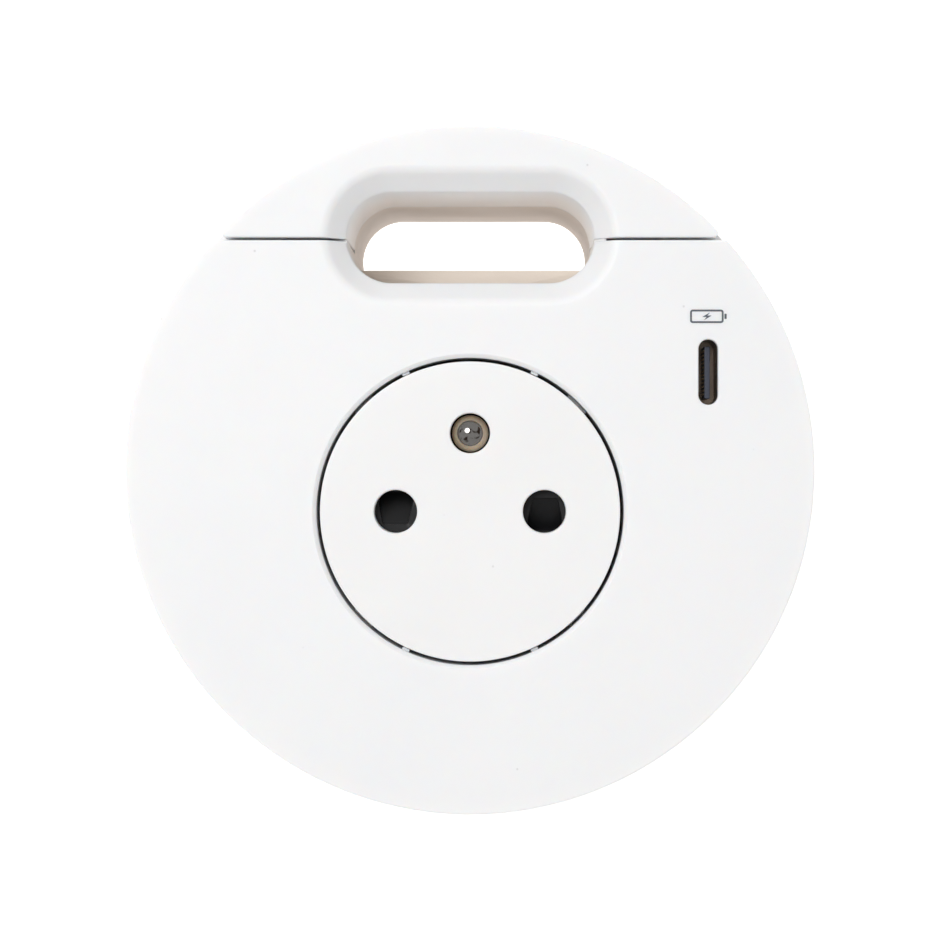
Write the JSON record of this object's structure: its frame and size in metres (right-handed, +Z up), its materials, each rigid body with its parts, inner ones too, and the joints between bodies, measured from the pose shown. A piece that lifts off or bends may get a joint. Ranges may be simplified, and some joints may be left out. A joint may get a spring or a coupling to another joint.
{
  "type": "desk power module",
  "caption": "Round desk grommet with a flush push-in mains socket, a USB-C charging port and an oblong cable slot under a lift-off cover.",
  "frame": {"origin": "centre of the flange's underside, on the axis of the hole in the desk, level with the desk's top surface", "axes": "+Z points up out of the face, +Y towards the cable slot, +X towards the USB-C port"},
  "size_m": [0.0926, 0.0926, 0.046],
  "materials": {
    "shell_white": "fine matt moulded white polycarbonate",
    "face_white": "smooth satin white polycarbonate",
    "body_white": "matt off-white flame-retardant plastic",
    "gasket_grey": "soft matt foam rubber",
    "nut_grey": "matt moulded nylon",
    "steel": "zinc plated steel",
    "spring_steel": "drawn spring wire",
    "shutter_black": "slick black acetal",
    "base_black": "matt black contact carrier",
    "pin_chrome": "polished nickel plated brass",
    "brass": "stamped brass",
    "usb_metal": "nickel plated drawn shell",
    "usb_slate": "moulded slate tongue",
    "pcb_green": "solder mask over laminate",
    "ferrite": "ferrite core with yellow tape",
    "cap_blue": "shrink sleeve",
    "chip_black": "moulded epoxy",
    "wire_brown": "PVC insulation",
    "wire_blue": "PVC insulation",
    "wire_earth": "striped PVC insulation",
    "wire_dc": "PVC insulation"
  },
  "bodies": {
    "body": {"front_plate": "shell_white", "body_shell": "body_white", "rear_cover": "body_white", "flange_gasket": "gasket_grey", "face_springs": "spring_steel", "socket_base": "base_black", "earth_pin": "pin_chrome", "live_contact": "brass", "neutral_contact": "brass", "earth_plate": "brass", "usb_shell": "usb_metal", "usb_tongue": "usb_slate", "usb_board": "pcb_green", "charger_board": "pcb_green", "transformer": "ferrite", "capacitors": "cap_blue", "charger_chips": "chip_black", "inlet_housing": "base_black", "inlet_pins": "pin_chrome", "live_wire": "wire_brown", "neutral_wire": "wire_blue", "earth_wire": "wire_earth", "charger_wires": "wire_dc", "front_plate_screws": "steel", "base_screws": "steel", "rear_cover_screws": "steel"},
    "cover": {"cable_cover": "shell_white"},
    "push_face": {"socket_face": "face_white", "shutter_retainer": "base_black", "shutter_screws": "steel", "shutter_spring": "spring_steel"},
    "shutter": {"shutter": "shutter_black"},
    "clamp": {"clamp_washer": "steel", "grip_pad": "gasket_grey"},
    "nut": {"ring_nut": "nut_grey"}
  },
  "joints": [
    {"name": "face_press", "type": "slide", "parent": "body", "child": "push_face", "axis": [0, 0, -1], "range_m": [0, 0.015], "stiffness_N_per_m": 400, "springref_m": -0.006, "deforming": ["face_springs"]},
    {"name": "shutter_turn", "type": "hinge", "parent": "push_face", "child": "shutter", "pos_m": [0, -0.0053, 0], "axis": [0, 0, 1], "range_deg": [0, 42], "stiffness_Nm_per_rad": 0.002, "springref_deg": -17.19},
    {"name": "cover_lift", "type": "slide", "parent": "body", "child": "cover", "axis": [0, 0, 1], "range_m": [0, 0.03]},
    {"name": "washer_slide", "type": "slide", "parent": "body", "child": "clamp", "axis": [0, 0, 1], "range_m": [-0.009, 0.01]},
    {"name": "nut_spin", "type": "hinge", "parent": "clamp", "child": "nut", "pos_m": [0, 0, -0.022], "axis": [0, 0, 1], "range_deg": [-1080, 1200]}
  ],
  "couplings": [
    {"joint": "washer_slide", "follows": "nut_spin", "m_per_rad": 0.00047746}
  ]
}
